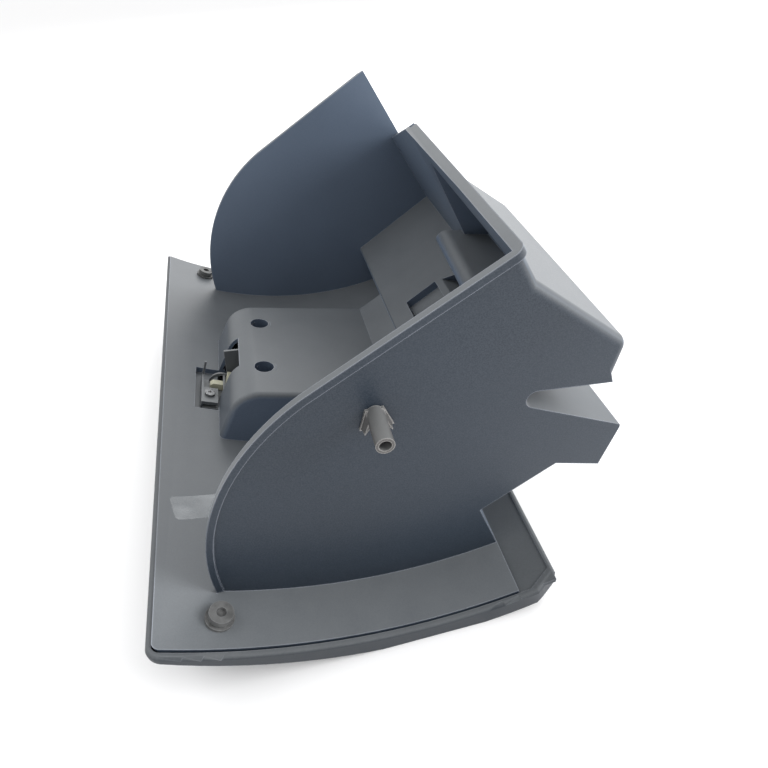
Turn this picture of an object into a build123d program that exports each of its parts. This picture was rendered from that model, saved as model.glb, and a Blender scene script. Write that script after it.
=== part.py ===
from build123d import *
from math import asin, atan, cos, degrees, radians, sin, sqrt, tan
import os

# A glove box lying on its door: the outer skin is below, the bin stands on the inner panel.
# X runs from the latch edge to the hinge edge, Y along the width of the car, Z up.
# The origin is below the middle of the whole box, on the surface that the skin rests on.
os.makedirs("parts", exist_ok=True)

# Door: skin and inner panel are arcs about one axis along Y
skin_radius = 253.0
rest_flat = 60.0
arc_x = 17.2
door_depth = 13.0
door_near = -194.5
door_far = 194.5
door_hinge_x = 84.7
latch_edge_near_x = -113.9
latch_edge_far_x = -125.0
hinge_corner_cut = 12.0
latch_corner_radius = 6.0
far_corner_radius = 16.0
skin_wall = 2.5
lip_wall = 3.0
lip_drop = 1.5
skin_edge_round = 2.0
edge_radius = 210.0
edge_low_z = -1.8
edge_slope = 0.6
hem_width = 21.0
hem_drop = 2.0
weld_rib = 2.0
weld_rib_places = (-140.0, -80.0, 105.0, 150.0)
weld_rib_x = (-80.0, 50.0)

# Inner moulding: panel and bin
wall = 2.5
panel_inset = 6.5
panel_gap = 3.5
panel_chamfer = 2.5
panel_turn = 7.0
panel_end_gap = 0.3
seat_gap = 0.2
bin_near = -160.5
bin_width = 312.5
foot_x = -85.0
front_middle = (-70.0, 96.5)
front_bend = (-23.0, 145.0)
tip = (66.4, 191.7)
back_corner = (118.8, 85.5)
floor_step = (53.0, 47.3)
lip_width = 3.5
lip_proud = 1.2

# Flared upper pocket and lower pocket at the near side, with the notch between them
pocket_shoulder = (73.5, 175.8)
pocket_nose = (119.0, 136.9)
pocket_under = (114.5, 116.3)
finger_nose = (123.6, 86.0)
finger_heel = (115.9, 61.7)
finger_root = (92.0, 70.0)
pocket_nose_radius = 6.0
finger_nose_radius = 3.0
shoulder_fillet = 5.0
nose_rise = 6.3
nose_high = (127.3, 175.0)
notch_apex = (52.0, 124.1)
notch_upper_slope = 7.1
notch_lower_slope = 27.3
notch_tip_radius = 4.7
notch_length = 95.0
notch_start = 4.0
notch_reach = 195.0
notch_drift = 14.0
pocket_end_nose_y = -20.9
pocket_end_top = (86.8, -30.0, 170.3)
pocket_end_notch = (86.0, 6.5, 113.8)

# Shallow well in the bin floor
well_start = 14.6
well_end = 41.0
well_near = -145.5
well_far = 31.5
well_depth = 6.0
well_corner = 4.0

# Rim and the slanted cut in the back wall beside the far side wall
rim_near = (-3.4, 1.2)
rim_far = (-1.2, 4.1)
rim_end_y = -2.5
rim_corner_radius = 5.0
rim_inner_radius = 3.0
rim_arm = 9.0
cut_start_y = 0.0
cut_drop = 55.0
cut_margin = 6.0
flange_width = 2.5
flange_proud = 3.5

# Raised handle housing on the inner panel
housing_near = -50.0
housing_far = 72.0
housing_base_x = -84.0
housing_nose = (-64.5, 62.5)
housing_slope_end = (32.6, 37.0)
housing_ramp_end = (52.1, 48.6)
housing_draft = 8.0
housing_sink = 5.0
housing_nose_radius = 20.0
housing_edge_radius = 4.0
housing_corner_radius = 7.0
well_hole_x = -46.6
well_hole_y = (-14.0, 41.0)
well_hole_radius = 6.2
well_tube_wall = 1.8
well_floor_z = 42.2
well_floor = 2.5
well_top_z = 56.0
screw_room = 0.3

# Latch recess, in the frame of the panel surface at the foot line
recess_latch_u = -14.5
recess_hinge_u = 1.5
recess_near = -19.5
recess_far = 26.5
recess_depth = 4.0
recess_floor = 1.8
slot_near = -7.5
slot_hinge_u = 12.4
slot_top_w = 31.0

# Pull handle on the outer face
handle_y = 13.0
handle_half = 32.0
handle_gap = 1.5
handle_left_x = -67.0
handle_right_x = -20.0
opening_left_x = -71.5
opening_right_x = 8.0
opening_corner = 5.0
lever_recess = 0.6
lever_wall = 2.2
pivot_u = 24.0
pivot_w = -5.2
open_angle = 30.0
bolt_travel = 7.5
pin_radius = 1.5
running_fit = 0.05
barrel_radius = 3.2
arm_width = 3.0
arm_thickness = 2.0
finger_radius = 1.8
bowl_wall = 2.0
bowl_half = 36.0
bowl_left_z = 24.6
bowl_low_z = 23.0
bowl_high_z = 34.0
bowl_flange = 4.0
bowl_flange_wall = 1.5
bowl_arm_window = (-63.5, 9.0)
grip_height = 4.0
barrel_web = 1.5
spring_y = 0.0
spring_space = 8.0
spring_side_gap = 0.8
spring_radius = 2.4
spring_wire = 0.7
cross_slot = 0.8
screw_radius = 2.0
screw_head_radius = 4.2
screw_head_height = 2.6
screw_length = 13.0
boss_radius = 4.6

# Latch: housing and sliding bolt, same frame as the recess
bolt_y = 8.0
bolt_head = (-4.5, 3.5)
bolt_head_width = 5.0
bolt_low_w = -2.2
bolt_head_w = 3.0
bolt_body_width = 8.0
bolt_body_w = (6.0, 10.5)
bolt_neck_u = (6.0, 8.5)
bolt_tail_wall = 1.9
push_gap = 0.3
slide_gap = 0.25
tunnel_wall = 1.5
tunnel_u = (12.0, 17.0)
spring_length = 9.5
base_end_u = 12.0
frame_wall = 1.5
plate_near = -15.5
plate_far = 0.5
plate_latch_u = -10.5
plate_hinge_u = 0.6
plate_w = (0.4, 3.0)
latch_screw_place = (-5.0, -7.0)
latch_screw_radius = 1.6
latch_head_radius = 3.5
latch_head_height = 2.0
bridge_u = 4.0
arch_start_u = -3.5
arch_end_u = 6.2
arch_top_w = 3.6
block_low_left = (5.1, 10.0)
block_high_left = (0.5, 25.3)
block_high_right = (11.5, 29.0)
block_low_right = (16.5, 13.8)
far_wall_y = 15.0
post_top_w = 14.0

# Hinge lugs under the bin
hinge_places = (-85.0, 85.0)
hinge_pin_radius = 3.0
hinge_end_radius = 2.5
hinge_end_length = 12.5
hinge_pin_chamfer = 0.5
hinge_axis = (75.5, 31.0)
lug_thickness = 3.0
lug_radius = 6.5
lug_span = 20.0
lug_low = (60.0, 26.0)
lug_high = (54.5, 45.5)
lug_floor = (68.0, 56.5)

# Rubber buffers and the damper post
bumper_radius = 6.0
bumper_base_radius = 7.2
bumper_height = 5.5
bumper_base_height = 1.5
bumper_waist_radius = 5.4
bumper_hole_radius = 2.5
bumper_hole_depth = 2.0
bumper_stem_radius = 3.0
bumper_bead_radius = 4.2
bumper_near_place = (-84.0, -175.6)
bumper_far_place = (-94.0, 173.5)
post_place = (5.6, 129.2)
post_radius = 4.0
post_bore = 2.6
post_length = 20.0
post_plug_radius = 3.0
post_wing_half = 7.5
post_wing_top = 3.0
post_wing_bottom = 7.0
post_wing_length = 6.0
post_wing_wall = 2.0
post_flange = 1.5
post_wing_draft = 10.0

panel_radius = skin_radius - door_depth
arc_z = sqrt(skin_radius ** 2 - (rest_flat / 2) ** 2)
bin_far = bin_near + bin_width
under_radius = panel_radius + wall
buried_radius = panel_radius + wall / 2
skin_inner_radius = skin_radius - skin_wall
panel_end_x = door_hinge_x - hem_width - panel_end_gap


def arc_point(radius, x):
    """Point of the arc of this radius at x, as (x, z)."""
    return (x, arc_z - sqrt(radius ** 2 - (x - arc_x) ** 2))


def arc_between(radius, x_start, x_end):
    """Arc about the door's axis from one x to another."""
    middle = (x_start + x_end) / 2
    return ThreePointArc(arc_point(radius, x_start), arc_point(radius, middle), arc_point(radius, x_end))


def side_plane(y):
    """Plane across the door at y: its x is X and its y is Z, and extruding by -d runs towards +Y."""
    return Plane.XZ.offset(-y)


def ring_lines(radius_in, radius_out, x_start, x_end):
    """Closed outline between two arcs about the door's axis."""
    inner = arc_between(radius_in, x_start, x_end)
    outer = arc_between(radius_out, x_end, x_start)
    Line(inner @ 1, outer @ 0)
    Line(outer @ 1, inner @ 0)


def door_lines(inset, hinge_inset, corner_cut):
    """Closed plan outline of the door, set in by this much."""
    latch_near = (latch_edge_near_x + inset, door_near + inset)
    latch_far = (latch_edge_far_x + inset, door_far - inset)
    hinge_far = (door_hinge_x - hinge_inset, door_far - inset)
    hinge_near = (door_hinge_x - hinge_inset, door_near + inset)
    if corner_cut:
        cut_side = (hinge_near[0], hinge_near[1] + corner_cut * 0.6)
        cut_near = (hinge_near[0] - corner_cut, hinge_near[1])
        Polyline(latch_near, latch_far, hinge_far, cut_side, cut_near, latch_near)
    else:
        Polyline(latch_near, latch_far, hinge_far, hinge_near, latch_near)


def edge_bound(lift):
    """Space above the rising near and far edges of the skin, lifted by this much."""
    left_x = latch_edge_far_x - 10
    right_x = door_hinge_x + 5
    bound_z = edge_low_z + edge_radius
    radius = edge_radius - lift
    ends = [(x, bound_z - sqrt(radius ** 2 - (x - arc_x) ** 2)) for x in (left_x, right_x)]
    with BuildPart() as bound:
        with BuildSketch(side_plane(door_near + lip_wall * bool(lift))):
            with BuildLine():
                low = ThreePointArc(ends[0], (arc_x, bound_z - radius), ends[1])
                Polyline(low @ 1, (right_x, 2 * door_far), (left_x, 2 * door_far), low @ 0)
            make_face()
        extrude(amount=2 * (door_far - door_near), dir=(0, 1, -edge_slope))
        add(mirror(bound.part, about=Plane.XZ, mode=Mode.PRIVATE), mode=Mode.INTERSECT)
    return bound.part


# Outer skin
skin_left = latch_edge_far_x - 10
skin_right = door_hinge_x + 5
with BuildPart() as skin_inside:
    with BuildSketch(side_plane(door_near)):
        with BuildLine():
            flat_in = skin_wall
            half = sqrt(skin_inner_radius ** 2 - (arc_z - flat_in) ** 2)
            left = ThreePointArc(arc_point(skin_inner_radius, skin_left),
                                 arc_point(skin_inner_radius, (skin_left + arc_x - half) / 2),
                                 (arc_x - half, flat_in))
            flat = Line(left @ 1, (arc_x + half, flat_in))
            right = ThreePointArc(flat @ 1,
                                  arc_point(skin_inner_radius, (skin_right + arc_x + half) / 2),
                                  arc_point(skin_inner_radius, skin_right))
            Polyline(right @ 1, (skin_right, 120), (skin_left, 120), left @ 0)
        make_face()
    extrude(amount=-(door_far - door_near))
    with BuildSketch(Plane.XY.offset(-10)) as inside_plan:
        with BuildLine():
            door_lines(lip_wall, lip_wall, hinge_corner_cut)
        make_face()
        corners = inside_plan.vertices().sort_by(Axis.X)[:2].sort_by(Axis.Y)
        fillet(corners[0], latch_corner_radius - lip_wall)
        fillet(corners[1], far_corner_radius - lip_wall)
    extrude(amount=150, mode=Mode.INTERSECT)
    add(edge_bound(skin_wall), mode=Mode.INTERSECT)

with BuildPart() as outer_skin:
    with BuildSketch(side_plane(door_near)):
        with BuildLine():
            ring_lines(panel_radius + lip_drop, skin_radius, skin_left, skin_right)
        make_face()
    extrude(amount=-(door_far - door_near))
    with BuildSketch(Plane.XY.offset(-10)) as plan:
        with BuildLine():
            door_lines(0, 0, hinge_corner_cut)
        make_face()
        corners = plan.vertices().sort_by(Axis.X)[:2].sort_by(Axis.Y)
        fillet(corners[0], latch_corner_radius)
        fillet(corners[1], far_corner_radius)
    extrude(amount=150, mode=Mode.INTERSECT)
    skin_face = outer_skin.faces().filter_by(GeomType.CYLINDER).sort_by(SortBy.AREA)[-1]
    fillet(skin_face.edges(), skin_edge_round)
    split(bisect_by=Plane.XY, keep=Keep.TOP)
    add(edge_bound(0), mode=Mode.INTERSECT)
    add(skin_inside.part, mode=Mode.SUBTRACT)
    # Folded hem along the hinge edge and the ribs that the inner panel is welded to
    with BuildSketch(side_plane(door_near + lip_wall)):
        with BuildLine():
            ring_lines(panel_radius + hem_drop, panel_radius + hem_drop + skin_wall,
                       door_hinge_x - hem_width, door_hinge_x - lip_wall / 2)
        make_face()
    extrude(amount=-(door_far - door_near - 2 * lip_wall))
    for y in weld_rib_places:
        with BuildSketch(side_plane(y)):
            with BuildLine():
                ring_lines(under_radius + seat_gap, skin_radius - skin_wall / 2, weld_rib_x[0], weld_rib_x[1])
            make_face()
        extrude(amount=-weld_rib)
    # Opening for the pull handle
    with BuildSketch():
        with Locations(((opening_left_x + opening_right_x) / 2, handle_y)):
            RectangleRounded(opening_right_x - opening_left_x, 2 * (handle_half + handle_gap), opening_corner)
    extrude(amount=bowl_low_z, mode=Mode.SUBTRACT)
outer_skin.part.label = "outer_skin"
export_step(outer_skin.part, "parts/outer_skin.step")


def door_floor_lines(radius, flat_z, start_x, end_x):
    """Arc of this radius from start_x, running into the flat strip at flat_z; gives both ends."""
    meet_x = arc_x - sqrt(radius ** 2 - (arc_z - flat_z) ** 2)
    arc = arc_between(radius, start_x, meet_x)
    flat = Line(arc @ 1, (end_x, flat_z))
    return arc @ 0, flat @ 1


# Inner panel: a thin arched plate with an edge turned down towards the skin
with BuildPart() as panel_hollow:
    with BuildSketch(side_plane(door_near)):
        with BuildLine():
            ring_lines(under_radius, panel_radius + 2 * panel_turn, skin_left, panel_end_x - wall)
        make_face()
    extrude(amount=-(door_far - door_near))
    with BuildSketch(Plane.XY.offset(-10)):
        with BuildLine():
            door_lines(panel_inset, lip_wall, 0)
        make_face()
    extrude(amount=150, mode=Mode.INTERSECT)

with BuildPart() as panel:
    with BuildSketch(side_plane(door_near)):
        with BuildLine():
            ring_lines(panel_radius, panel_radius + panel_turn, skin_left, panel_end_x)
        make_face()
    extrude(amount=-(door_far - door_near))
    with BuildSketch(Plane.XY.offset(-10)) as plan:
        with BuildLine():
            door_lines(panel_gap, lip_wall, 0)
        make_face()
        corners = plan.vertices().sort_by(Axis.X)[:2].sort_by(Axis.Y)
        fillet(corners[0], latch_corner_radius - lip_wall)
        fillet(corners[1], far_corner_radius - lip_wall)
    extrude(amount=150, mode=Mode.INTERSECT)
    top_face = panel.faces().filter_by(GeomType.CYLINDER).sort_by(SortBy.AREA)[-2]
    chamfer(top_face.edges(), panel_chamfer)
    add(panel_hollow.part, mode=Mode.SUBTRACT)
    add(edge_bound(skin_wall + seat_gap), mode=Mode.INTERSECT)

# Bin shell: a plain box across the whole width and a flared pocket at the near side
foot = arc_point(panel_radius, foot_x)
panel_end = arc_point(buried_radius, panel_end_x)
near_shoulder = Vector(pocket_shoulder[0], bin_near, pocket_shoulder[1])
near_nose = Vector(pocket_nose[0], bin_near, pocket_nose[1])
far_nose = Vector(pocket_nose[0], pocket_end_nose_y, pocket_nose[1] + nose_rise)
top_plane = Plane(origin=near_shoulder, z_dir=(near_nose - near_shoulder).cross(far_nose - near_shoulder))
end_top = Vector(*pocket_end_top)
end_plane = Plane(origin=end_top, z_dir=(far_nose - end_top).cross(Vector(*pocket_end_notch) - end_top))
inside = (0.0, 110.0)


def plain_face():
    """Side view of the whole bin, closed over its open front."""
    with BuildSketch(side_plane(bin_near)) as sketch:
        with BuildLine():
            bottom = arc_between(buried_radius, foot_x, panel_end_x)
            rear = Polyline(bottom @ 1, floor_step, back_corner, tip)
            top = Line(rear @ 1, front_bend)
            front = ThreePointArc(top @ 1, front_middle, foot)
            Line(front @ 1, bottom @ 0)
        make_face()
    return sketch.sketch


def open_face():
    """Side view of the bin's space, run out past its open front."""
    reach = 0.6
    above = (tip[0] + reach * (tip[0] - back_corner[0]), tip[1] + reach * (tip[1] - back_corner[1]))
    with BuildSketch(side_plane(bin_near + wall)) as sketch:
        with BuildLine():
            bottom = arc_between(under_radius + 2 * wall, skin_left, panel_end_x)
            Polyline(bottom @ 1, panel_end, floor_step, back_corner, above, (skin_left, above[1]), bottom @ 0)
        make_face()
        offset(amount=-wall)
    return sketch.sketch


def pocket_face(shrink):
    """Side view of the flared pockets without the notch, shrunk by this much."""
    with BuildSketch(side_plane(bin_near + shrink)) as sketch:
        with BuildLine():
            Polyline(tip, nose_high, pocket_under, finger_nose, finger_heel, finger_root, floor_step, inside, tip)
        make_face()
        fillet(sketch.vertices().sort_by(Axis.X)[-2], finger_nose_radius)
        if shrink:
            offset(amount=-shrink)
    return sketch.sketch


def notch_face(grow):
    """Side view of the notch between the two pockets, grown by this much."""
    far_x = notch_apex[0] + notch_length
    upper = notch_apex[1] - notch_length * tan(radians(notch_upper_slope))
    lower = notch_apex[1] - notch_length * tan(radians(notch_lower_slope))
    with BuildSketch(side_plane(bin_near - notch_start)) as sketch:
        Polygon(notch_apex, (far_x, lower), (far_x, upper), align=None)
        fillet(sketch.vertices().sort_by(Axis.X)[0], notch_tip_radius)
        if grow:
            offset(amount=grow)
    return sketch.sketch


def pocket_block(shrink):
    """Flared pockets as a solid with a sloping top and end, shrunk by this much."""
    with BuildPart() as block:
        extrude(pocket_face(shrink), amount=-(bin_width - 2 * shrink))
        split(bisect_by=top_plane.offset(-shrink), keep=Keep.BOTTOM)
        nose_edge = block.edges().filter_by(lambda e: abs(e.center().X - pocket_nose[0]) < 2 * wall)
        nose_edge = nose_edge.filter_by(lambda e: e.length > bin_width / 2).sort_by(Axis.Z)[-1]
        fillet(nose_edge, pocket_nose_radius - shrink)
        split(bisect_by=end_plane.offset(-shrink), keep=Keep.BOTTOM)
    return block.part


with BuildPart() as notch:
    extrude(notch_face(0), amount=notch_reach, dir=(notch_drift, notch_reach, 0))
    split(bisect_by=end_plane, keep=Keep.BOTTOM)

with BuildPart() as ridge:
    extrude(notch_face(wall), amount=notch_reach, dir=(notch_drift, notch_reach, 0))
    split(bisect_by=end_plane.offset(wall), keep=Keep.BOTTOM)

with BuildPart() as bin_space:
    extrude(open_face(), amount=-(bin_width - 2 * wall))
    add(pocket_block(wall))
    add(ridge.part, mode=Mode.SUBTRACT)

# Raised housing over the handle, hollow and open towards the skin
housing_length = housing_far - housing_near
housing_middle = (housing_near + housing_far) / 2
floor_slope = (back_corner[1] - floor_step[1]) / (back_corner[0] - floor_step[0])
floor_angle = degrees(atan(floor_slope))


def housing_face(shrink):
    """Side view of the handle housing, shrunk by this much and then open below."""
    with BuildSketch(side_plane(housing_near - lip_width)) as sketch:
        with BuildLine():
            bottom = arc_between(buried_radius, housing_base_x, panel_end_x - wall / 2)
            Polyline(bottom @ 1, housing_ramp_end, housing_slope_end, housing_nose, bottom @ 0)
        make_face()
        fillet(sketch.vertices().sort_by(Axis.Y)[-1], housing_nose_radius)
        if shrink:
            offset(amount=-shrink)
            with BuildLine():
                ring_lines(panel_radius - wall, panel_radius + panel_turn, housing_base_x + 2 * shrink,
                           panel_end_x - 2 * shrink)
            make_face()
    return sketch.sketch


def housing_block(shrink):
    """Handle housing as a solid with drafted sides, shrunk by this much."""
    with BuildPart() as block:
        extrude(housing_face(shrink), amount=-(housing_length + 2 * lip_width))
        with BuildSketch(Plane.XY):
            with Locations((0, housing_middle)):
                Rectangle(4 * bin_width, housing_length + housing_sink - 2 * shrink)
        extrude(amount=front_middle[1], taper=housing_draft, mode=Mode.INTERSECT)
        if not shrink:
            side_edges = block.edges().filter_by(lambda e: e.center().Z > housing_slope_end[1] - wall)
            side_edges = side_edges.filter_by(lambda e: abs(e.center().Y - housing_middle) > housing_length / 3)
            fillet(side_edges, housing_edge_radius)
    return block.part


latch_tilt = asin((arc_x - foot_x) / panel_radius)
along = (cos(latch_tilt), 0, -sin(latch_tilt))
above = (sin(latch_tilt), 0, cos(latch_tilt))
latch_plane = Plane(origin=(foot[0], 0, foot[1]), x_dir=along, z_dir=above)


def latch_side(y):
    """Side view plane at y in the latch frame: u along the panel, w away from it."""
    return Plane(origin=(foot[0], y, foot[1]), x_dir=along, z_dir=(0, -1, 0))


def latch_box(u_range, y_range, w_range, mode=Mode.ADD):
    """Box given by its ranges in the latch frame."""
    with Locations(latch_plane.location):
        with Locations((sum(u_range) / 2, sum(y_range) / 2, sum(w_range) / 2)):
            Box(u_range[1] - u_range[0], y_range[1] - y_range[0], w_range[1] - w_range[0], mode=mode)


def panel_plane(x, y):
    """Plane on the inner panel at x, y, facing away from it."""
    z = arc_point(panel_radius, x)[1]
    return Plane(origin=(x, y, z), x_dir=(arc_z - z, 0, x - arc_x), z_dir=(arc_x - x, 0, arc_z - z))


def side_wall_edge(y, amount, end):
    """Raised band along the free edge of a side wall."""
    with BuildSketch(side_plane(y)) as band:
        with BuildLine():
            front = ThreePointArc(foot, front_middle, front_bend)
            Line(front @ 1, (end[0], end[1]))
            offset(amount=lip_width, side=Side.RIGHT)
        make_face()
    extrude(band.sketch, amount=amount)


top_slope = Vector(tip[0] - front_bend[0], 0, tip[1] - front_bend[1]).normalized()
rim_plane = Plane(origin=(tip[0], 0, tip[1]), x_dir=(0, 1, 0), z_dir=(top_slope.Z, 0, -top_slope.X))
back_plane = Plane(origin=(tip[0], 0, tip[1]), x_dir=(0, 1, 0),
                   z_dir=(tip[1] - back_corner[1], 0, back_corner[0] - tip[0]))
floor_plane = Plane(origin=(floor_step[0], 0, floor_step[1]),
                    x_dir=(cos(radians(floor_angle)), 0, sin(radians(floor_angle))),
                    z_dir=(-sin(radians(floor_angle)), 0, cos(radians(floor_angle))))

with BuildPart() as inner_bin:
    extrude(plain_face(), amount=-bin_width)
    add(pocket_block(0))
    near_edges = inner_bin.edges().filter_by(lambda e: abs(e.center().Y - bin_near) < seat_gap)
    near_edges = near_edges.filter_by(lambda e: e.center().X > tip[0] and e.center().Z > pocket_nose[1])
    fillet(near_edges, shoulder_fillet)
    add(notch.part, mode=Mode.SUBTRACT)
    add(bin_space.part, mode=Mode.SUBTRACT)
    add(panel.part)
    add(housing_block(0))
    add(housing_block(wall), mode=Mode.SUBTRACT)
    # Shallow well pressed down into the floor
    well_size = (well_end - well_start, well_far - well_near)
    with Locations(floor_plane.location):
        with Locations(((well_start + well_end) / 2, (well_near + well_far) / 2, -well_depth)):
            Box(well_size[0] + 2 * wall, well_size[1] + 2 * wall, well_depth,
                align=(Align.CENTER, Align.CENTER, Align.MIN))
        with Locations(((well_start + well_end) / 2, (well_near + well_far) / 2, wall - well_depth)):
            Box(well_size[0], well_size[1], 2 * well_depth,
                align=(Align.CENTER, Align.CENTER, Align.MIN), mode=Mode.SUBTRACT)
    # Screw wells in the handle housing
    for y in well_hole_y:
        with Locations((well_hole_x, y, well_floor_z - well_floor)):
            Cylinder(well_hole_radius + well_tube_wall, well_top_z - well_floor_z + well_floor,
                     align=(Align.CENTER, Align.CENTER, Align.MIN))
        with Locations((well_hole_x, y, well_floor_z)):
            Cylinder(well_hole_radius, housing_nose[1], mode=Mode.SUBTRACT,
                     align=(Align.CENTER, Align.CENTER, Align.MIN))
            Cylinder(screw_radius + screw_room, 4 * well_floor, mode=Mode.SUBTRACT)
    # Recess for the latch and the slot that its bolt passes through
    recess_inner_u = (recess_latch_u, recess_hinge_u)
    latch_box((recess_latch_u - recess_floor, recess_hinge_u), (recess_near - recess_floor, recess_far + recess_floor),
              (-recess_depth - recess_floor, -wall / 2))
    latch_box(recess_inner_u, (recess_near, recess_far), (-recess_depth, 2 * recess_depth), mode=Mode.SUBTRACT)
    latch_box((0, slot_hinge_u), (slot_near, recess_far), (-recess_depth, slot_top_w), mode=Mode.SUBTRACT)
    # Raised bands on the side walls and the rim along the top of the back wall
    arm_end = (tip[0] - top_slope.X * (rim_arm - 1), tip[1] - top_slope.Z * (rim_arm - 1))
    side_wall_edge(bin_near, lip_proud, arm_end)
    side_wall_edge(bin_far, -lip_proud, tip)
    with BuildSketch(rim_plane):
        with BuildLine():
            outer = bin_near - lip_proud
            Polyline((outer, -rim_arm), (outer, rim_near[1]), (rim_end_y, rim_far[1]), (rim_end_y, rim_far[0]),
                     (bin_near + wall, rim_near[0]), (bin_near + wall, -rim_arm), (outer, -rim_arm))
        rim = make_face()
        fillet(rim.vertices().sort_by_distance((outer, rim_near[1], 0))[0], rim_corner_radius)
        fillet(rim.vertices().sort_by_distance((bin_near + wall, rim_near[0], 0))[0], rim_inner_radius)
    extrude(amount=lip_width)
    # Slanted cut at the far end of the back wall, with a flange along it and down the side wall
    with BuildSketch(back_plane.offset(-wall - cut_margin)):
        Polygon((cut_start_y, cut_margin), (cut_start_y, 0), (bin_far - wall, -cut_drop),
                (bin_far - wall, cut_margin), align=None)
    extrude(amount=wall + 2 * cut_margin, mode=Mode.SUBTRACT)
    with BuildSketch(back_plane):
        with BuildLine():
            Polyline((cut_start_y, 0), (bin_far - wall, -cut_drop), (bin_far - wall, 0))
            offset(amount=flange_width, side=Side.RIGHT)
        make_face()
    extrude(amount=flange_proud)
    # Hinge lugs below the floor, two for each pin
    for place in hinge_places:
        for y in (place - lug_span / 2, place + lug_span / 2 - lug_thickness):
            with BuildSketch(side_plane(y)):
                Polygon(lug_low, lug_high, lug_floor, hinge_axis, align=None)
                with Locations(hinge_axis):
                    Circle(lug_radius)
            extrude(amount=-lug_thickness)
            with BuildSketch(side_plane(y - 1)):
                with Locations(hinge_axis):
                    Circle(hinge_pin_radius + running_fit)
            extrude(amount=-(lug_thickness + 2), mode=Mode.SUBTRACT)
    # Holes for the rubber buffers and the damper post
    for place in (bumper_near_place, bumper_far_place):
        with Locations(panel_plane(*place).location):
            Cylinder(bumper_stem_radius, 4 * wall, mode=Mode.SUBTRACT)
    with Locations(Location((post_place[0], bin_near, post_place[1]), (90, 0, 0))):
        Cylinder(post_plug_radius, 4 * wall, mode=Mode.SUBTRACT)
inner_bin.part.label = "inner_bin"
export_step(inner_bin.part, "parts/inner_bin.step")

# Handle bowl over the opening in the skin
bowl_bottom = skin_inner_radius - seat_gap
bowl_flat = skin_wall + seat_gap
bowl_left = opening_left_x - bowl_wall
bowl_right = opening_right_x + bowl_wall
bowl_step_x = -57.0
bowl_rise_x = (-36.0, -28.0)


def bowl_block(shrink):
    """Bowl as a solid, shrunk by this much and then open below."""
    start = bowl_left + shrink
    end = bowl_right - shrink
    with BuildPart() as block:
        with BuildSketch(side_plane(handle_y - bowl_half + shrink)):
            with BuildLine():
                ends = door_floor_lines(bowl_bottom + shrink, bowl_flat - shrink, start, end)
                Polyline(ends[1], (end, bowl_high_z - shrink), (bowl_rise_x[1] + shrink, bowl_high_z - shrink),
                         (bowl_rise_x[0] + shrink, bowl_low_z - shrink), (bowl_step_x - shrink, bowl_low_z - shrink),
                         (bowl_step_x - shrink, bowl_left_z - shrink), (start, bowl_left_z - shrink), ends[0])
            make_face()
        extrude(amount=-2 * (bowl_half - shrink))
        upright = block.edges().filter_by(Axis.Z).sort_by(Axis.X)[-2:]
        fillet(upright, opening_corner if shrink else opening_corner + bowl_wall)
    return block.part


pivot = latch_side(handle_y).from_local_coords(Vector(pivot_u, pivot_w, 0))
pivot_line = Location((pivot.X, handle_y, pivot.Z), (90, 0, 0))
with BuildPart() as handle_bowl:
    add(bowl_block(0))
    with BuildSketch(side_plane(handle_y - bowl_half - bowl_flange)):
        with BuildLine():
            low = door_floor_lines(bowl_bottom, bowl_flat, bowl_left - bowl_flange, bowl_right + bowl_flange)
            high = door_floor_lines(bowl_bottom - bowl_flange_wall, bowl_flat + bowl_flange_wall,
                                    bowl_left - bowl_flange, bowl_right + bowl_flange)
            Line(low[0], high[0])
            Line(low[1], high[1])
        make_face()
    extrude(amount=-2 * (bowl_half + bowl_flange))
    add(bowl_block(bowl_wall), mode=Mode.SUBTRACT)
    with Locations((bowl_arm_window[0], bolt_y, bowl_low_z)):
        Box(bowl_arm_window[1], arm_width + 2 * finger_radius, 4 * bowl_wall, mode=Mode.SUBTRACT)
    with Locations(pivot_line):
        Cylinder(pin_radius, 2 * bowl_half + 1, mode=Mode.SUBTRACT)
    # Bosses for the screws from above
    for y in well_hole_y:
        with Locations((well_hole_x, y, bowl_low_z - bowl_wall)):
            Cylinder(boss_radius, well_floor_z - well_floor - seat_gap - bowl_low_z + bowl_wall,
                     align=(Align.CENTER, Align.CENTER, Align.MIN))
        with Locations((well_hole_x, y, bowl_low_z)):
            Cylinder(screw_radius, well_floor_z - bowl_low_z,
                     align=(Align.CENTER, Align.CENTER, Align.MIN), mode=Mode.SUBTRACT)
handle_bowl.part.label = "handle_bowl"
export_step(handle_bowl.part, "parts/handle_bowl.step")

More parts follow.
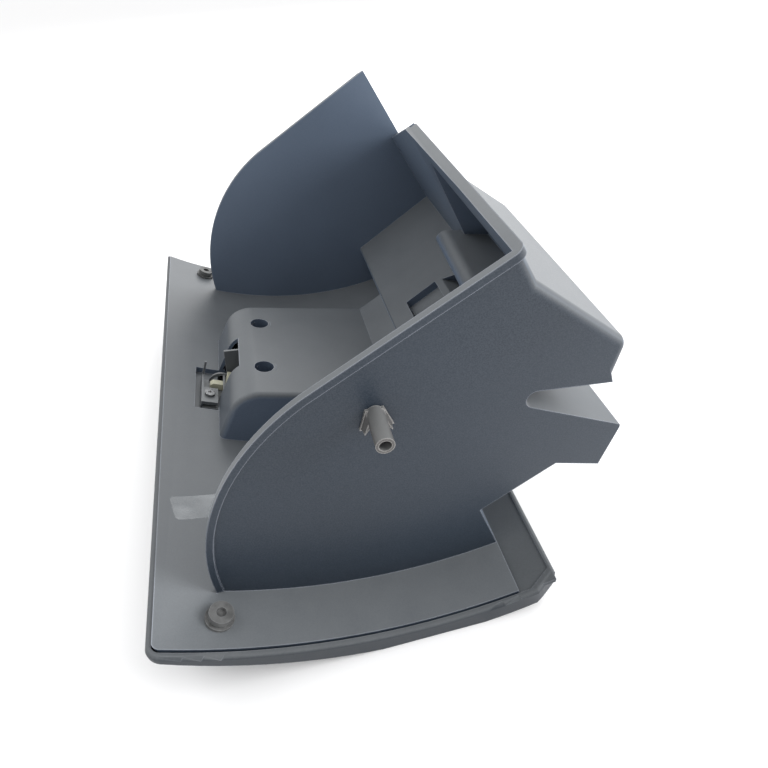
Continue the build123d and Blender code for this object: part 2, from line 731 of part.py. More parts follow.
# Pull handle: a curved paddle flush with the skin, a barrel on the pin and an arm up to the bolt
lever_outer = skin_radius - lever_recess
lever_inner = lever_outer - lever_wall
arm_reach = bolt_travel / (2 * sin(radians(open_angle / 2)))
rest_lean = open_angle / 2
arm_tip_u = pivot_u - arm_reach * sin(radians(rest_lean))
arm_tip_w = pivot_w + arm_reach * cos(radians(rest_lean))
with BuildPart() as handle_lever:
    with BuildSketch(side_plane(handle_y - handle_half)):
        with BuildLine():
            ring_lines(lever_inner, lever_outer, handle_left_x, handle_right_x)
        make_face()
        with BuildLine():
            ring_lines(lever_inner - grip_height, lever_outer, handle_right_x - lever_wall, handle_right_x)
        make_face()
    extrude(amount=-2 * handle_half)
    with BuildSketch(side_plane(handle_y - handle_half)):
        with Locations((pivot.X, pivot.Z)):
            Circle(barrel_radius)
        with BuildLine():
            foot_left = arc_point(lever_inner + lever_wall / 2, pivot.X - barrel_web)
            foot_right = arc_point(lever_inner + lever_wall / 2, pivot.X + barrel_web)
            Polyline(foot_left, foot_right, (foot_right[0], pivot.Z), (foot_left[0], pivot.Z), foot_left)
        make_face()
    extrude(amount=-2 * handle_half)
    with Locations((pivot.X, spring_y, pivot.Z)):
        Box(3 * barrel_radius, spring_space, 3 * barrel_radius, mode=Mode.SUBTRACT)
    with BuildSketch(side_plane(handle_y - handle_half)):
        with BuildLine():
            ring_lines(lever_inner, lever_outer, handle_left_x, handle_right_x)
        make_face()
    extrude(amount=-2 * handle_half)
    with BuildSketch(latch_side(bolt_y - arm_width / 2)):
        with BuildLine():
            side = arm_thickness / 2
            Polyline((pivot_u - side, pivot_w), (pivot_u + side, pivot_w), (arm_tip_u + side, arm_tip_w),
                     (arm_tip_u - side, arm_tip_w), (pivot_u - side, pivot_w))
        make_face()
        with Locations((arm_tip_u, arm_tip_w)):
            Circle(finger_radius)
    extrude(amount=-arm_width)
    with Locations(pivot_line):
        Cylinder(pin_radius + running_fit, 3 * handle_half, mode=Mode.SUBTRACT)
handle_lever.part.label = "handle_lever"
export_step(handle_lever.part, "parts/handle_lever.step")

with BuildPart() as handle_pin:
    with Locations(pivot_line):
        Cylinder(pin_radius, 2 * bowl_half)
handle_pin.part.label = "handle_pin"
export_step(handle_pin.part, "parts/handle_pin.step")

# Torsion spring on the pin between the two halves of the barrel, as the tube that its coils fill
with BuildPart() as handle_spring:
    with Locations(Location((pivot.X, spring_y, pivot.Z), (90, 0, 0))):
        Cylinder(spring_radius + spring_wire / 2, spring_space - 2 * spring_side_gap)
        Cylinder(spring_radius - spring_wire / 2, spring_space, mode=Mode.SUBTRACT)
handle_spring.part.label = "handle_spring"
export_step(handle_spring.part, "parts/handle_spring.step")

with BuildPart() as handle_screws:
    for y in well_hole_y:
        with Locations((well_hole_x, y, well_floor_z)):
            Cylinder(screw_head_radius, screw_head_height, align=(Align.CENTER, Align.CENTER, Align.MIN))
        with Locations((well_hole_x, y, well_floor_z - screw_length)):
            Cylinder(screw_radius, screw_length, align=(Align.CENTER, Align.CENTER, Align.MIN))
        with Locations((well_hole_x, y, well_floor_z + screw_head_height)):
            Box(2 * screw_radius, cross_slot, screw_head_height, mode=Mode.SUBTRACT)
            Box(cross_slot, 2 * screw_radius, screw_head_height, mode=Mode.SUBTRACT)
handle_screws.part.label = "handle_screws"
export_step(handle_screws.part, "parts/handle_screws.step")

# Latch: frame in the recess with a guide channel behind it
channel_near = bolt_y - bolt_body_width / 2 - slide_gap
channel_far = bolt_y + bolt_body_width / 2 + slide_gap
bolt_tail_u = arm_tip_u + finger_radius + push_gap + bolt_tail_wall
channel_end_u = bolt_tail_u + spring_length
channel_low_w = bolt_body_w[0] - frame_wall
channel_high_w = bolt_body_w[1] + slide_gap
bolt_head_near = bolt_y - bolt_head_width / 2
bolt_head_far = bolt_y + bolt_head_width / 2
with BuildPart() as latch_housing:
    base_top = -recess_depth + frame_wall
    latch_box((plate_latch_u, base_end_u), (plate_near, far_wall_y + frame_wall), (-recess_depth, base_top))
    latch_box((plate_latch_u, plate_latch_u + frame_wall), (plate_near, far_wall_y + frame_wall),
              (-recess_depth, plate_w[1]))
    latch_box((plate_latch_u, plate_hinge_u), (plate_near, plate_far), plate_w)
    latch_box((plate_latch_u, plate_hinge_u), (plate_far - frame_wall, plate_far), (-recess_depth, plate_w[1]))
    # Bridge over the bolt and the tall post beside it
    latch_box((bridge_u, bridge_u + frame_wall), (slot_near + seat_gap, far_wall_y + frame_wall),
              (bolt_head_w + push_gap, bolt_head_w + push_gap + frame_wall))
    latch_box((bridge_u, bridge_u + frame_wall), (slot_near + seat_gap, slot_near + seat_gap + frame_wall),
              (-recess_depth, bolt_head_w + push_gap + frame_wall))
    latch_box((plate_latch_u, plate_latch_u + frame_wall), (far_wall_y, far_wall_y + frame_wall),
              (-recess_depth, post_top_w))
    # Far wall with the arch below and the tall block above
    with BuildSketch(latch_side(far_wall_y)):
        with BuildLine():
            rise = ThreePointArc((arch_start_u - frame_wall, base_top), (arch_start_u + 1, arch_top_w), (arch_end_u, arch_top_w + 2))
            Polyline(rise @ 1, block_low_left, block_high_left, block_high_right, block_low_right,
                     (base_end_u, -recess_depth), (arch_end_u, -recess_depth), (arch_end_u, arch_top_w))
            ThreePointArc((arch_end_u, arch_top_w), (arch_start_u + 3, arch_top_w - 1.5), (arch_start_u, base_top))
            Line((arch_start_u, base_top), (arch_start_u - frame_wall, base_top))
        make_face()
    extrude(amount=-frame_wall)
    # Guide channel for the sliding bolt
    for y in (channel_near - frame_wall, channel_far):
        latch_box((base_end_u - frame_wall, channel_end_u), (y, y + frame_wall),
                  (channel_low_w, channel_high_w + frame_wall))
        latch_box((base_end_u - frame_wall, base_end_u), (y, y + frame_wall), (-recess_depth, channel_low_w))
    latch_box(tunnel_u, (channel_near, channel_far), (channel_high_w, channel_high_w + frame_wall))
    latch_box((channel_end_u, channel_end_u + frame_wall), (channel_near - frame_wall, channel_far + frame_wall),
              (channel_low_w, channel_high_w + frame_wall))
    with Locations(latch_plane.location):
        with Locations((latch_screw_place[0], latch_screw_place[1], 0)):
            Cylinder(latch_screw_radius, 4 * recess_depth, mode=Mode.SUBTRACT)
latch_housing.part.label = "latch_housing"
export_step(latch_housing.part, "parts/latch_housing.step")

with BuildPart() as latch_bolt:
    latch_box((bolt_head[0], bolt_neck_u[1]), (bolt_head_near, bolt_head_far), (bolt_low_w, bolt_head_w))
    latch_box(bolt_neck_u, (bolt_head_near, bolt_head_far), (bolt_low_w, bolt_body_w[1]))
    latch_box((bolt_neck_u[0], bolt_tail_u), (bolt_y - bolt_body_width / 2, bolt_y + bolt_body_width / 2), bolt_body_w)
    slot_u = (arm_tip_u - finger_radius - push_gap, arm_tip_u + finger_radius + push_gap)
    latch_box(slot_u, (bolt_y - arm_width / 2 - push_gap, bolt_y + arm_width / 2 + push_gap),
              (bolt_body_w[0] - 1, bolt_body_w[1] + 1), mode=Mode.SUBTRACT)
    bolt_nose = latch_bolt.edges().filter_by(Axis.Y).sort_by(Axis.X)[:4].sort_by(Axis.Z)[-1]
    chamfer(bolt_nose, bolt_head_width / 3)
latch_bolt.part.label = "latch_bolt"
export_step(latch_bolt.part, "parts/latch_bolt.step")

# Pressure spring behind the bolt, as the tube that its coils fill
bolt_spring_radius = spring_radius - spring_wire / 2
coil_start = latch_side(bolt_y).from_local_coords(Vector(bolt_tail_u, (bolt_body_w[0] + bolt_body_w[1]) / 2, 0))
with BuildPart() as bolt_spring:
    with BuildSketch(Plane(origin=coil_start, z_dir=along)):
        Circle(bolt_spring_radius)
        Circle(bolt_spring_radius - spring_wire, mode=Mode.SUBTRACT)
    extrude(amount=spring_length)
bolt_spring.part.label = "bolt_spring"
export_step(bolt_spring.part, "parts/bolt_spring.step")

with BuildPart() as latch_screw:
    with Locations(latch_plane.location):
        with Locations((latch_screw_place[0], latch_screw_place[1], plate_w[1])):
            Cylinder(latch_head_radius, latch_head_height, align=(Align.CENTER, Align.CENTER, Align.MIN))
            Cylinder(latch_screw_radius, plate_w[1] + recess_depth, align=(Align.CENTER, Align.CENTER, Align.MAX))
        with Locations((latch_screw_place[0], latch_screw_place[1], plate_w[1] + latch_head_height)):
            Box(2 * latch_screw_radius, cross_slot, latch_head_height, mode=Mode.SUBTRACT)
            Box(cross_slot, 2 * latch_screw_radius, latch_head_height, mode=Mode.SUBTRACT)
latch_screw.part.label = "latch_screw"
export_step(latch_screw.part, "parts/latch_screw.step")

# Hinge pins through the lugs, each with a thinner free end towards its side of the box
hinge_shank = lug_span + 2
for name, place, turn in (("hinge_pin_near", hinge_places[0], 90), ("hinge_pin_far", hinge_places[1], -90)):
    with BuildPart() as hinge_pin:
        with Locations(Location((hinge_axis[0], place, hinge_axis[1]), (turn, 0, 0))):
            Cylinder(hinge_pin_radius, hinge_shank)
            with Locations((0, 0, hinge_shank / 2)):
                Cylinder(hinge_end_radius, hinge_end_length, align=(Align.CENTER, Align.CENTER, Align.MIN))
        tips = hinge_pin.edges().filter_by(GeomType.CIRCLE).sort_by(Axis.Y)
        chamfer(tips[0 if turn > 0 else -1], hinge_pin_chamfer)
    hinge_pin.part.label = name
    export_step(hinge_pin.part, f"parts/{name}.step")

# Rubber buffers on the panel beside the bin, raised so that their flat base rests on the arched panel
bumper_lift = bumper_base_radius ** 2 / (2 * panel_radius)
for name, place in (("bumper_near", bumper_near_place), ("bumper_far", bumper_far_place)):
    with BuildPart() as bumper:
        with BuildSketch(Plane.XZ):
            with BuildLine():
                Polyline((bumper_hole_radius, bumper_height - bumper_hole_depth), (bumper_hole_radius, bumper_height),
                         (bumper_radius, bumper_height), (bumper_radius, bumper_height / 2),
                         (bumper_waist_radius, bumper_height / 2), (bumper_waist_radius, bumper_base_height),
                         (bumper_base_radius, bumper_base_height), (bumper_base_radius, 0),
                         (bumper_stem_radius, 0), (bumper_stem_radius, -wall - bumper_lift),
                         (bumper_bead_radius, -wall - bumper_lift), (bumper_stem_radius, -2 * wall),
                         (0, -2 * wall),
                         (0, bumper_height - bumper_hole_depth),
                         (bumper_hole_radius, bumper_height - bumper_hole_depth))
            make_face()
        revolve(axis=Axis.Z)
    placed = panel_plane(*place).offset(bumper_lift).location * bumper.part
    placed.label = name
    export_step(placed, f"parts/{name}.step")

# Hollow post for the damper on the near side wall, with two wings at its root
with BuildPart() as damper_post:
    with Locations(Location((post_place[0], bin_near, post_place[1]), (90, 0, 0))):
        Cylinder(post_radius, post_length, align=(Align.CENTER, Align.CENTER, Align.MIN))
        Cylinder(post_plug_radius, wall + post_flange, align=(Align.CENTER, Align.CENTER, Align.MAX))
    with BuildSketch(side_plane(bin_near)):
        x, z = post_place
        Polygon((x - post_wing_half, z - post_wing_bottom), (x + post_wing_half, z - post_wing_bottom),
                (x + post_radius, z + post_wing_top), (x - post_radius, z + post_wing_top), align=None)
    extrude(amount=post_flange)
    with BuildSketch(side_plane(bin_near)):
        Polygon((x - post_wing_half, z - post_wing_bottom), (x - post_wing_half + post_wing_wall, z - post_wing_bottom),
                (x, z), (x - post_radius, z + post_wing_top), align=None)
        Polygon((x + post_wing_half, z - post_wing_bottom), (x + post_wing_half - post_wing_wall, z - post_wing_bottom),
                (x, z), (x + post_radius, z + post_wing_top), align=None)
    extrude(amount=post_wing_length, taper=post_wing_draft)
    with Locations(Location((post_place[0], bin_near - post_length, post_place[1]), (90, 0, 0))):
        Cylinder(post_bore, 2 * (post_length - post_flange), mode=Mode.SUBTRACT)
damper_post.part.label = "damper_post"
export_step(damper_post.part, "parts/damper_post.step")
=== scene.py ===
# %% [markdown]
# # Glove box lying on its door
# The CAD model is loaded as a fixed frame, in metres, with Z up. The box lies on the outer skin of its
# door and the bin stands open above it. This lesson gives every piece a moulded plastic, rubber or
# metal surface and adds the small things that the CAD pieces leave plain.

# %% Load the frame
from math import cos, pi, radians, sin, sqrt

import bmesh
import bpy
from mathutils import Matrix, Vector


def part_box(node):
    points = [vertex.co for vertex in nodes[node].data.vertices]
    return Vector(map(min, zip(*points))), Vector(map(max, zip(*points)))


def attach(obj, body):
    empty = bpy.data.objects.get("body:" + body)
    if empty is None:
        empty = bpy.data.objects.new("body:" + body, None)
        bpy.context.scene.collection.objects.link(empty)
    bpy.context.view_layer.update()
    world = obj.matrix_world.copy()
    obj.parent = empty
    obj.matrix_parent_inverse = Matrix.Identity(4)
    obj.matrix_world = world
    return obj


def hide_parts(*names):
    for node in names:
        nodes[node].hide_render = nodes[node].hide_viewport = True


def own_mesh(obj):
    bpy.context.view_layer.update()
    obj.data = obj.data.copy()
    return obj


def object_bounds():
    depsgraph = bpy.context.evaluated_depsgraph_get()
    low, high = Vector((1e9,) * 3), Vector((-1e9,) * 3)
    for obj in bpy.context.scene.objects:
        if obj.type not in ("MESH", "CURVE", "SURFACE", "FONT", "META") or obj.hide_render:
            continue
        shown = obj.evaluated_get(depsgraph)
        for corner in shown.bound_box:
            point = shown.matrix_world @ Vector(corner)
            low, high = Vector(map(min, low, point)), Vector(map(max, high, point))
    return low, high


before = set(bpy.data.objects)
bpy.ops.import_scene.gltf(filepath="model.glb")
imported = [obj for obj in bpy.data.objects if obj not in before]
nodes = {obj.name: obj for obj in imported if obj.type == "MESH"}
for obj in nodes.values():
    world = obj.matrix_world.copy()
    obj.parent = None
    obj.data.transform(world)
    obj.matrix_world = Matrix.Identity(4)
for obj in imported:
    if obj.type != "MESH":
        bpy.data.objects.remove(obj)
bounds_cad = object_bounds()
scene = bpy.context.scene
mm = 0.001
print("nodes", sorted(nodes))

# %% [markdown]
# ## Shader maths
# Node links are easier to read as sums and products. A `Socket` wraps one output, so that Python's own
# operators add the Math nodes, and `node` adds any other node from its type, settings and inputs.

# %% Sockets as numbers
class Socket:
    def __init__(self, paint, output):
        self.paint = paint
        self.output = output

    def maths(self, operation, *others, clamp=False):
        return self.paint.maths(operation, self, *others, clamp=clamp)

    def __add__(self, other):
        return self.maths("ADD", other)

    def __radd__(self, other):
        return self.paint.maths("ADD", other, self)

    def __sub__(self, other):
        return self.maths("SUBTRACT", other)

    def __rsub__(self, other):
        return self.paint.maths("SUBTRACT", other, self)

    def __mul__(self, other):
        return self.maths("MULTIPLY", other)

    def __rmul__(self, other):
        return self.paint.maths("MULTIPLY", other, self)

    def __truediv__(self, other):
        return self.maths("DIVIDE", other)

    def __pow__(self, other):
        return self.maths("POWER", other)

    def between(self, low, high):
        """Runs smoothly from 0 at low to 1 at high."""
        return self.paint.node("MapRange", dict(interpolation_type="SMOOTHSTEP"),
                               Value=self, **{"From Min": low, "From Max": high})


class Paint:
    """One material: a Principled surface with what its inputs are made of."""

    def __init__(self, name, **constants):
        self.material = bpy.data.materials.new(name)
        self.material.use_nodes = True
        self.tree = self.material.node_tree
        self.surface = self.tree.nodes["Principled BSDF"]
        for key, value in constants.items():
            self.surface.inputs[key.replace("_", " ")].default_value = value
        self.place = self.node("TexCoord", output="Object")

    def feed(self, socket, value):
        if isinstance(value, Socket):
            self.tree.links.new(value.output, socket)
        else:
            socket.default_value = value

    def node(self, kind, settings=None, output=None, **inputs):
        made = self.tree.nodes.new("ShaderNode" + kind)
        for key, value in (settings or {}).items():
            setattr(made, key, value)
        for key, value in inputs.items():
            self.feed(made.inputs[key], value)
        chosen = made.outputs[output] if output else made.outputs[0]
        return Socket(self, chosen)

    def maths(self, operation, *values, clamp=False):
        made = self.tree.nodes.new("ShaderNodeMath")
        made.operation = operation
        made.use_clamp = clamp
        for slot, value in zip(made.inputs, values):
            self.feed(slot, value)
        return Socket(self, made.outputs[0])

    def grain(self, scale, detail=2.0, roughness=0.5, stretch=(1, 1, 1)):
        """Noise of this many features a metre, about 0.5."""
        spot = self.node("Mapping", Vector=self.place, Scale=stretch)
        return self.node("TexNoise", Vector=spot, Scale=scale, Detail=detail, Roughness=roughness)

    def mix(self, factor, first, second):
        made = self.tree.nodes.new("ShaderNodeMix")
        made.data_type = "RGBA"
        self.feed(made.inputs[0], factor)
        self.feed(made.inputs[6], first)
        self.feed(made.inputs[7], second)
        return Socket(self, made.outputs[2])

    def axis(self, name):
        return self.node("SeparateXYZ", output=name, Vector=self.place)

    def edges(self, radius):
        """About 1 where the surface turns within this radius, and 0 on flat ground."""
        soft = self.node("Bevel", Radius=radius)
        hard = self.node("NewGeometry", output="Normal")
        turn = self.tree.nodes.new("ShaderNodeVectorMath")
        turn.operation = "DOT_PRODUCT"
        self.feed(turn.inputs[0], soft)
        self.feed(turn.inputs[1], hard)
        return (1.0 - Socket(self, turn.outputs["Value"])).between(0.01, 0.16)

    def set(self, **inputs):
        for key, value in inputs.items():
            self.feed(self.surface.inputs[key.replace("_", " ")], value)
        return self

    def bump(self, height, distance, strength=1.0):
        return self.node("Bump", Height=height, Distance=distance, Strength=strength)


print("shader maths ready")

# %% [markdown]
# ## Surfaces
# The mouldings are a dark slate plastic with a fine etched grain. Handling has polished the proud edges and
# left faint scuffs;
# the polished edges are also lighter, partly wear and partly a painted highlight. The surfaces that face up
# are lighter and duller, partly dust and partly a painted top light, and the upright walls inside the bin
# carry a painted bluish light.
# The rubber buffers, the zinc screws and the steel pins vary the same recipe.

# %% Moulded plastic
NEAR_WALL_Y = -0.1595
FAR_WALL_Y = 0.1515
FADE = 0.001
# The pale grey is dust plus a painted top light; the pale blue is painted light for the upright walls inside
# the bin.
DUST_AND_TOP_LIGHT_COLOUR = (0.33, 0.345, 0.35, 1)
PAINTED_BLUE_LIGHT = (0.21, 0.27, 0.37, 1)


# This paints light as well as real grain, scuffs and dust: the proud edges get a painted highlight with
# their wear, the surfaces that face up get a painted top light with their dust, and the upright walls inside
# the bin get a painted bluish light whose strength the last argument sets.
def plastic(name, colour, bright, rough=0.40, grain_size=1600.0, wear_and_highlight_level=0.5, dust_and_top_light_level=0.38,
            film=0.0):
    paint = Paint(name, Specular_IOR_Level=0.35)
    cloud = paint.grain(9.0, detail=3.0)
    blotch = paint.grain(38.0, detail=4.0, roughness=0.65)
    fine = paint.grain(grain_size, detail=1.0)
    scuff = paint.grain(60.0, detail=6.0, roughness=0.8, stretch=(0.35, 1.0, 3.0))
    edge = paint.edges(0.0009)
    wear_and_highlight = (edge * (0.4 + blotch * 0.8)).maths("MULTIPLY", wear_and_highlight_level, clamp=True)
    facing = paint.node("SeparateXYZ", output="Z", Vector=paint.node("NewGeometry", output="Normal"))
    dust_and_top_light = facing.between(0.05, 1.0) * (0.9 + (blotch - 0.5) * 0.3) * dust_and_top_light_level
    scuffed = scuff.between(0.66, 0.80) * 0.06
    deep = tuple(c * 0.88 for c in colour[:3]) + (1.0,)
    tone = paint.mix(cloud.between(0.3, 0.7), deep, colour)
    tone = paint.mix((fine - 0.5) * 0.10 + 0.02, tone, bright)
    across = paint.axis("Y")
    past_near = across.between(NEAR_WALL_Y, NEAR_WALL_Y + FADE)
    past_far = across.between(FAR_WALL_Y - FADE, FAR_WALL_Y)
    inside = past_near * (1.0 - past_far)
    upright = 1.0 - facing.between(0.2, 0.7)
    # Painted light: the upright walls between the near and far walls are mixed towards a pale blue, broken
    # up by cloudy noise, as if lit.
    tone = paint.mix(inside * upright * (0.85 + (cloud - 0.5) * 0.4) * film, tone, PAINTED_BLUE_LIGHT)
    # Surfaces that face up are mixed towards a pale grey: partly dust, partly a painted top light.
    tone = paint.mix(dust_and_top_light, tone, DUST_AND_TOP_LIGHT_COLOUR)
    tone = paint.mix(scuffed, tone, bright)
    # Proud edges are mixed towards the bright colour: partly wear, partly a painted highlight.
    tone = paint.mix(wear_and_highlight, tone, bright)
    height = fine * 0.7 + blotch * 0.3
    paint.set(Base_Color=tone,
              Roughness=(rough + (fine - 0.5) * 0.16 + dust_and_top_light * 0.15 - wear_and_highlight * 0.1 + (blotch - 0.5) * 0.06),
              Normal=paint.bump(height, 0.00005, 0.45))
    return paint.material


# The slate's last argument, 0.42, sets the painted bluish light on the upright walls inside the bin.
slate = plastic("slate_moulding", (0.016, 0.025, 0.038, 1), (0.42, 0.45, 0.52, 1), film=0.42)
skin_grey = plastic("skin_grain", (0.020, 0.026, 0.034, 1), (0.30, 0.32, 0.36, 1), rough=0.46,
                    grain_size=1100.0, dust_and_top_light_level=0.25)
post_grey = plastic("post_pewter", (0.075, 0.072, 0.070, 1), (0.42, 0.41, 0.40, 1), rough=0.34, wear_and_highlight_level=0.9)
frame_grey = plastic("latch_frame_grey", (0.085, 0.092, 0.100, 1), (0.46, 0.48, 0.50, 1))
cream = plastic("bolt_cream", (0.50, 0.49, 0.36, 1), (0.80, 0.79, 0.68, 1), rough=0.38, wear_and_highlight_level=0.3, dust_and_top_light_level=0.1)
dark_bowl = plastic("bowl_dark", (0.018, 0.021, 0.026, 1), (0.2, 0.22, 0.25, 1), rough=0.5)
print("plastics made")

# %% Rubber and metal
def rubber(name, colour):
    paint = Paint(name, Specular_IOR_Level=0.35)
    speckle = paint.grain(2600.0, detail=2.0)
    patch = paint.grain(240.0, detail=3.0)
    edge = paint.edges(0.0006)
    tone = paint.mix(patch.between(0.3, 0.7), colour, tuple(c * 1.7 for c in colour[:3]) + (1.0,))
    tone = paint.mix(edge * 0.5, tone, (0.24, 0.25, 0.26, 1))
    paint.set(Base_Color=tone, Roughness=0.55 + (speckle - 0.5) * 0.3,
              Normal=paint.bump(speckle, 0.00005, 0.6))
    return paint.material


def metal(name, colour, rough, stretch):
    paint = Paint(name, Metallic=1.0)
    drawn = paint.grain(900.0, detail=4.0, stretch=stretch)
    stain = paint.grain(150.0, detail=5.0, roughness=0.7)
    edge = paint.edges(0.0004)
    tone = paint.mix(stain.between(0.45, 0.8) * 0.5, colour, tuple(c * 0.45 for c in colour[:3]) + (1.0,))
    tone = paint.mix(edge * 0.5, tone, (0.9, 0.9, 0.9, 1))
    paint.set(Base_Color=tone, Roughness=rough + (drawn - 0.5) * 0.25 + stain.between(0.5, 0.8) * 0.2,
              Normal=paint.bump(drawn, 0.00003, 0.5))
    return paint.material


buffer_rubber = rubber("buffer_rubber", (0.075, 0.076, 0.076, 1))
zinc = metal("zinc_screw", (0.20, 0.205, 0.21, 1), 0.5, (1, 1, 1))
steel = metal("steel_pin", (0.58, 0.58, 0.58, 1), 0.25, (1, 0.05, 1))
wire = metal("spring_wire", (0.40, 0.40, 0.42, 1), 0.3, (1, 1, 1))
print("rubber and metals made")

# %% [markdown]
# ## CAD pieces
# Each CAD piece keeps its mesh. A weld and a narrow bevel soften its corners, as a mould does. Normals
# weighted by area keep the wide walls flat beside their rounded edges.

# %% Finish the CAD pieces
surfaces = {
    "outer_skin": skin_grey, "inner_bin": slate, "damper_post": post_grey, "latch_housing": frame_grey,
    "latch_bolt": cream, "handle_bowl": dark_bowl, "handle_lever": skin_grey, "bumper_near": buffer_rubber,
    "bumper_far": buffer_rubber, "handle_pin": steel, "hinge_pin_near": steel, "hinge_pin_far": steel,
    "handle_spring": wire, "bolt_spring": wire, "handle_screws": zinc, "latch_screw": zinc,
}
EDGE_ANGLES = {"outer_skin": 55}
softness = {"inner_bin": 0.5, "outer_skin": 0.5, "handle_bowl": 0.4, "handle_lever": 0.4}
for name, material in surfaces.items():
    piece = nodes[name]
    piece.data.materials.clear()
    piece.data.materials.append(material)
    for face in piece.data.polygons:
        face.use_smooth = True
    weld = piece.modifiers.new("weld", "WELD")
    weld.merge_threshold = 0.00002
    bevel = piece.modifiers.new("bevel", "BEVEL")
    bevel.width = softness.get(name, 0.2) * mm
    bevel.segments = 2
    bevel.limit_method = "ANGLE"
    bevel.angle_limit = radians(EDGE_ANGLES.get(name, 28))
    bevel.harden_normals = True
    bevel.use_clamp_overlap = True
    even = piece.modifiers.new("even", "WEIGHTED_NORMAL")
    even.mode = "FACE_AREA"
    even.weight = 80
print("finished", len(surfaces), "CAD pieces")

# %% [markdown]
# ## Springs
# Both springs are plain tubes in the CAD model. Here a round wire is wound about the same axis to the
# same length and width: a closely wound torsion spring on the handle's pin, and an open compression
# spring behind the bolt.

# %% Wind the springs
WIRE = 0.7 * mm
PIN_AXIS = Vector((0, 1, 0))
PIN_SPRING_LENGTH = 6.4 * mm
PIN_SPRING_RADIUS = 2.4 * mm
BOLT_AXIS = Vector((0.904802, 0, -0.425833))
BOLT_SPRING_LENGTH = 9.5 * mm
BOLT_SPRING_RADIUS = 1.7 * mm


def coil(name, node, axis, length, radius, turns, steps_a_turn=20, sides=8):
    """Winds a round wire, its middle this far from an axis through the middle of the plain spring."""
    low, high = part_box(node)
    middle = (low + high) / 2
    side = axis.orthogonal().normalized()
    other = axis.cross(side)
    steps = turns * steps_a_turn
    mesh = bmesh.new()
    rings = []
    for step in range(steps + 1):
        turned = 2 * pi * step / steps_a_turn
        outward = side * cos(turned) + other * sin(turned)
        spot = middle + axis * (length - WIRE) * (step / steps - 0.5) + outward * radius
        corners = [2 * pi * corner / sides for corner in range(sides)]
        rings.append([mesh.verts.new(spot + (outward * cos(a) + axis * sin(a)) * WIRE / 2) for a in corners])
    for first, second in zip(rings, rings[1:]):
        for corner in range(sides):
            following = (corner + 1) % sides
            mesh.faces.new((first[corner], first[following], second[following], second[corner]))
    mesh.faces.new(rings[0])
    mesh.faces.new(rings[-1])
    bmesh.ops.recalc_face_normals(mesh, faces=mesh.faces)
    data = bpy.data.meshes.new(name)
    mesh.to_mesh(data)
    mesh.free()
    data.polygons.foreach_set("use_smooth", [True] * len(data.polygons))
    data.materials.append(wire)
    made = bpy.data.objects.new(name, data)
    scene.collection.objects.link(made)
    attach(made, "door")
    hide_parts(node)
    print(name, "of", turns, "turns has", len(data.polygons), "faces")
    return made


coil("handle_coil", "handle_spring", PIN_AXIS, PIN_SPRING_LENGTH, PIN_SPRING_RADIUS, turns=8)
bolt_coil = coil("bolt_coil", "bolt_spring", BOLT_AXIS, BOLT_SPRING_LENGTH, BOLT_SPRING_RADIUS, turns=4)
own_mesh(bolt_coil)

# %% [markdown]
# ## Blank film
# A clear film sticker lies on the panel beside the near wall. Its print can't be read, so it stays blank.
# It is a thin sheet dropped onto the panel, with corners cut round and a milky, slightly wrinkled surface.

# %% Film on the panel
FILM_START = Vector((-106.2, -109.8, 0)) * mm
FILM_ALONG = Vector((0.969, 0.247, 0)).normalized()
FILM_LENGTH = 30.0 * mm
FILM_WIDTH = 16.2 * mm
FILM_LIFT = 0.06 * mm
FILM_CORNER = 1.5 * mm
DROP_FROM = 60.0 * mm
DOWN = Vector((0, 0, -1))
film_across = Vector((-FILM_ALONG.y, FILM_ALONG.x, 0))
columns, rows = 24, 12
mesh = bmesh.new()
grid = []
for column in range(columns + 1):
    line = []
    for row in range(rows + 1):
        along = FILM_LENGTH * column / columns
        across = FILM_WIDTH * (row / rows - 0.5)
        spare = min(along, FILM_LENGTH - along)
        if spare < FILM_CORNER:
            reach = FILM_WIDTH / 2 - FILM_CORNER + sqrt(FILM_CORNER ** 2 - (FILM_CORNER - spare) ** 2)
            across = max(-reach, min(reach, across))
        spot = FILM_START + FILM_ALONG * along + film_across * across
        found, touch, normal, face = nodes["inner_bin"].ray_cast(Vector((spot.x, spot.y, DROP_FROM)), DOWN)
        line.append(mesh.verts.new(touch + normal * FILM_LIFT))
    grid.append(line)
for first, second in zip(grid, grid[1:]):
    for row in range(rows):
        mesh.faces.new((first[row], second[row], second[row + 1], first[row + 1]))
bmesh.ops.remove_doubles(mesh, verts=mesh.verts, dist=0.00001)
film_data = bpy.data.meshes.new("film_sticker")
mesh.to_mesh(film_data)
mesh.free()
film_data.polygons.foreach_set("use_smooth", [True] * len(film_data.polygons))
film = bpy.data.objects.new("film_sticker", film_data)
scene.collection.objects.link(film)

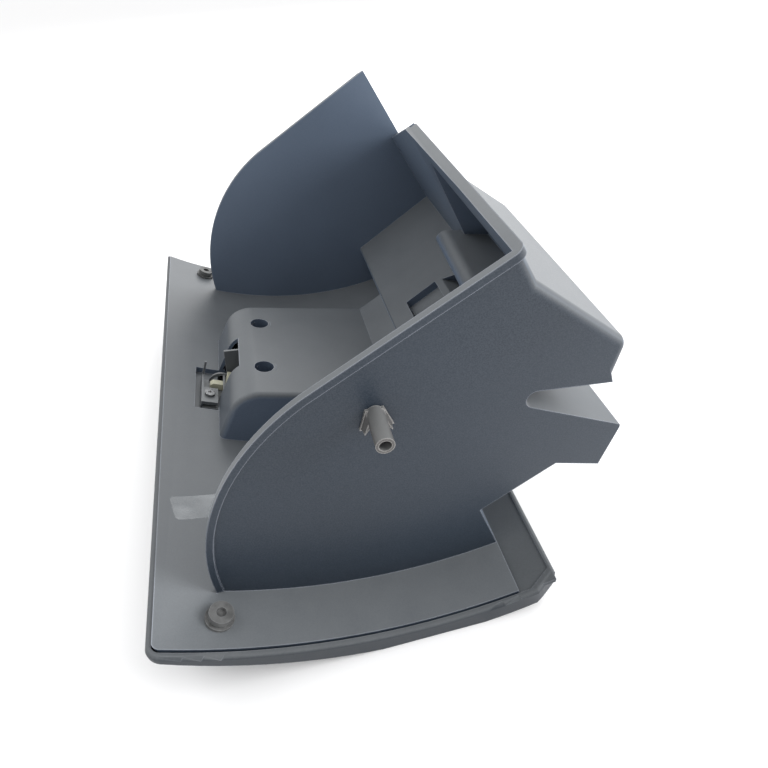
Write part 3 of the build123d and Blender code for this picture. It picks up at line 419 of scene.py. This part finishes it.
film_paint = Paint("clear_film", Specular_IOR_Level=0.5)
milk = film_paint.grain(120.0, detail=3.0)
wrinkle = film_paint.grain(300.0, detail=4.0, stretch=(1.0, 0.3, 1.0))
film_tone = film_paint.mix(milk.between(0.3, 0.7), (0.42, 0.45, 0.47, 1), (0.60, 0.63, 0.65, 1))
film_paint.set(Base_Color=film_tone,
               Roughness=0.28 + (wrinkle - 0.5) * 0.2, Alpha=0.30 + (milk - 0.5) * 0.25,
               Normal=film_paint.bump(wrinkle, 0.00004, 0.5))
film_data.materials.append(film_paint.material)
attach(film, "door")
print("film of", len(film_data.polygons), "faces")

# %% [markdown]
# ## Studio
# A pale floor and a white surround, with a soft key from the upper left, a wide soft light far behind that
# gives the surfaces facing up their sheen, and a weak fill from the right.

# %% Floor, lights and camera
floor_paint = Paint("studio_floor", Roughness=0.9)
floor_paint.set(Base_Color=(0.96, 0.96, 0.965, 1))
FLOOR_SIDE = 12.0
FLOOR_GAP = 0.02 * mm
bpy.ops.mesh.primitive_plane_add(size=FLOOR_SIDE, location=(0, 0, bounds_cad[0][2] - FLOOR_GAP))
floor = bpy.context.object
floor.name = "floor"
floor.data.materials.append(floor_paint.material)

world = bpy.data.worlds.new("studio")
scene.world = world
world.use_nodes = True
world.node_tree.nodes["Background"].inputs["Color"].default_value = (1, 1, 1, 1)
world.node_tree.nodes["Background"].inputs["Strength"].default_value = 1.0


def area_light(name, place, target, size, power):
    data = bpy.data.lights.new(name, "AREA")
    data.shape = "RECTANGLE"
    data.size, data.size_y = size
    data.energy = power
    light = bpy.data.objects.new(name, data)
    scene.collection.objects.link(light)
    light.location = place
    light.rotation_euler = (Vector(target) - Vector(place)).to_track_quat("-Z", "Y").to_euler()


area_light("key", (-0.8, 0.3, 1.3), (0, 0, 0.08), (0.9, 0.9), 4.0)
area_light("rear_softbox", (0.8, 1.35, 1.05), (0, 0, 0.05), (1.8, 1.2), 26.0)
area_light("fill", (1.1, -0.5, 0.6), (0.1, -0.1, 0.12), (0.6, 0.6), 12.0)

camera = bpy.data.objects.new("camera", bpy.data.cameras.new("camera"))
scene.collection.objects.link(camera)
camera.data.lens = 27.19
camera.data.sensor_width = 36.0
right = Vector((0.9712, -0.2219, -0.0872)).normalized()
forward = Vector((0.1167, 0.7614, -0.6377)).normalized()
up = right.cross(forward).normalized()
eye = Vector((-0.0162, -0.3369, 0.2911))
turn = Matrix((right, up, -forward)).transposed().to_4x4()
camera.matrix_world = Matrix.Translation(eye) @ turn
scene.camera = camera
scene.view_settings.view_transform = "Standard"
print("camera set")
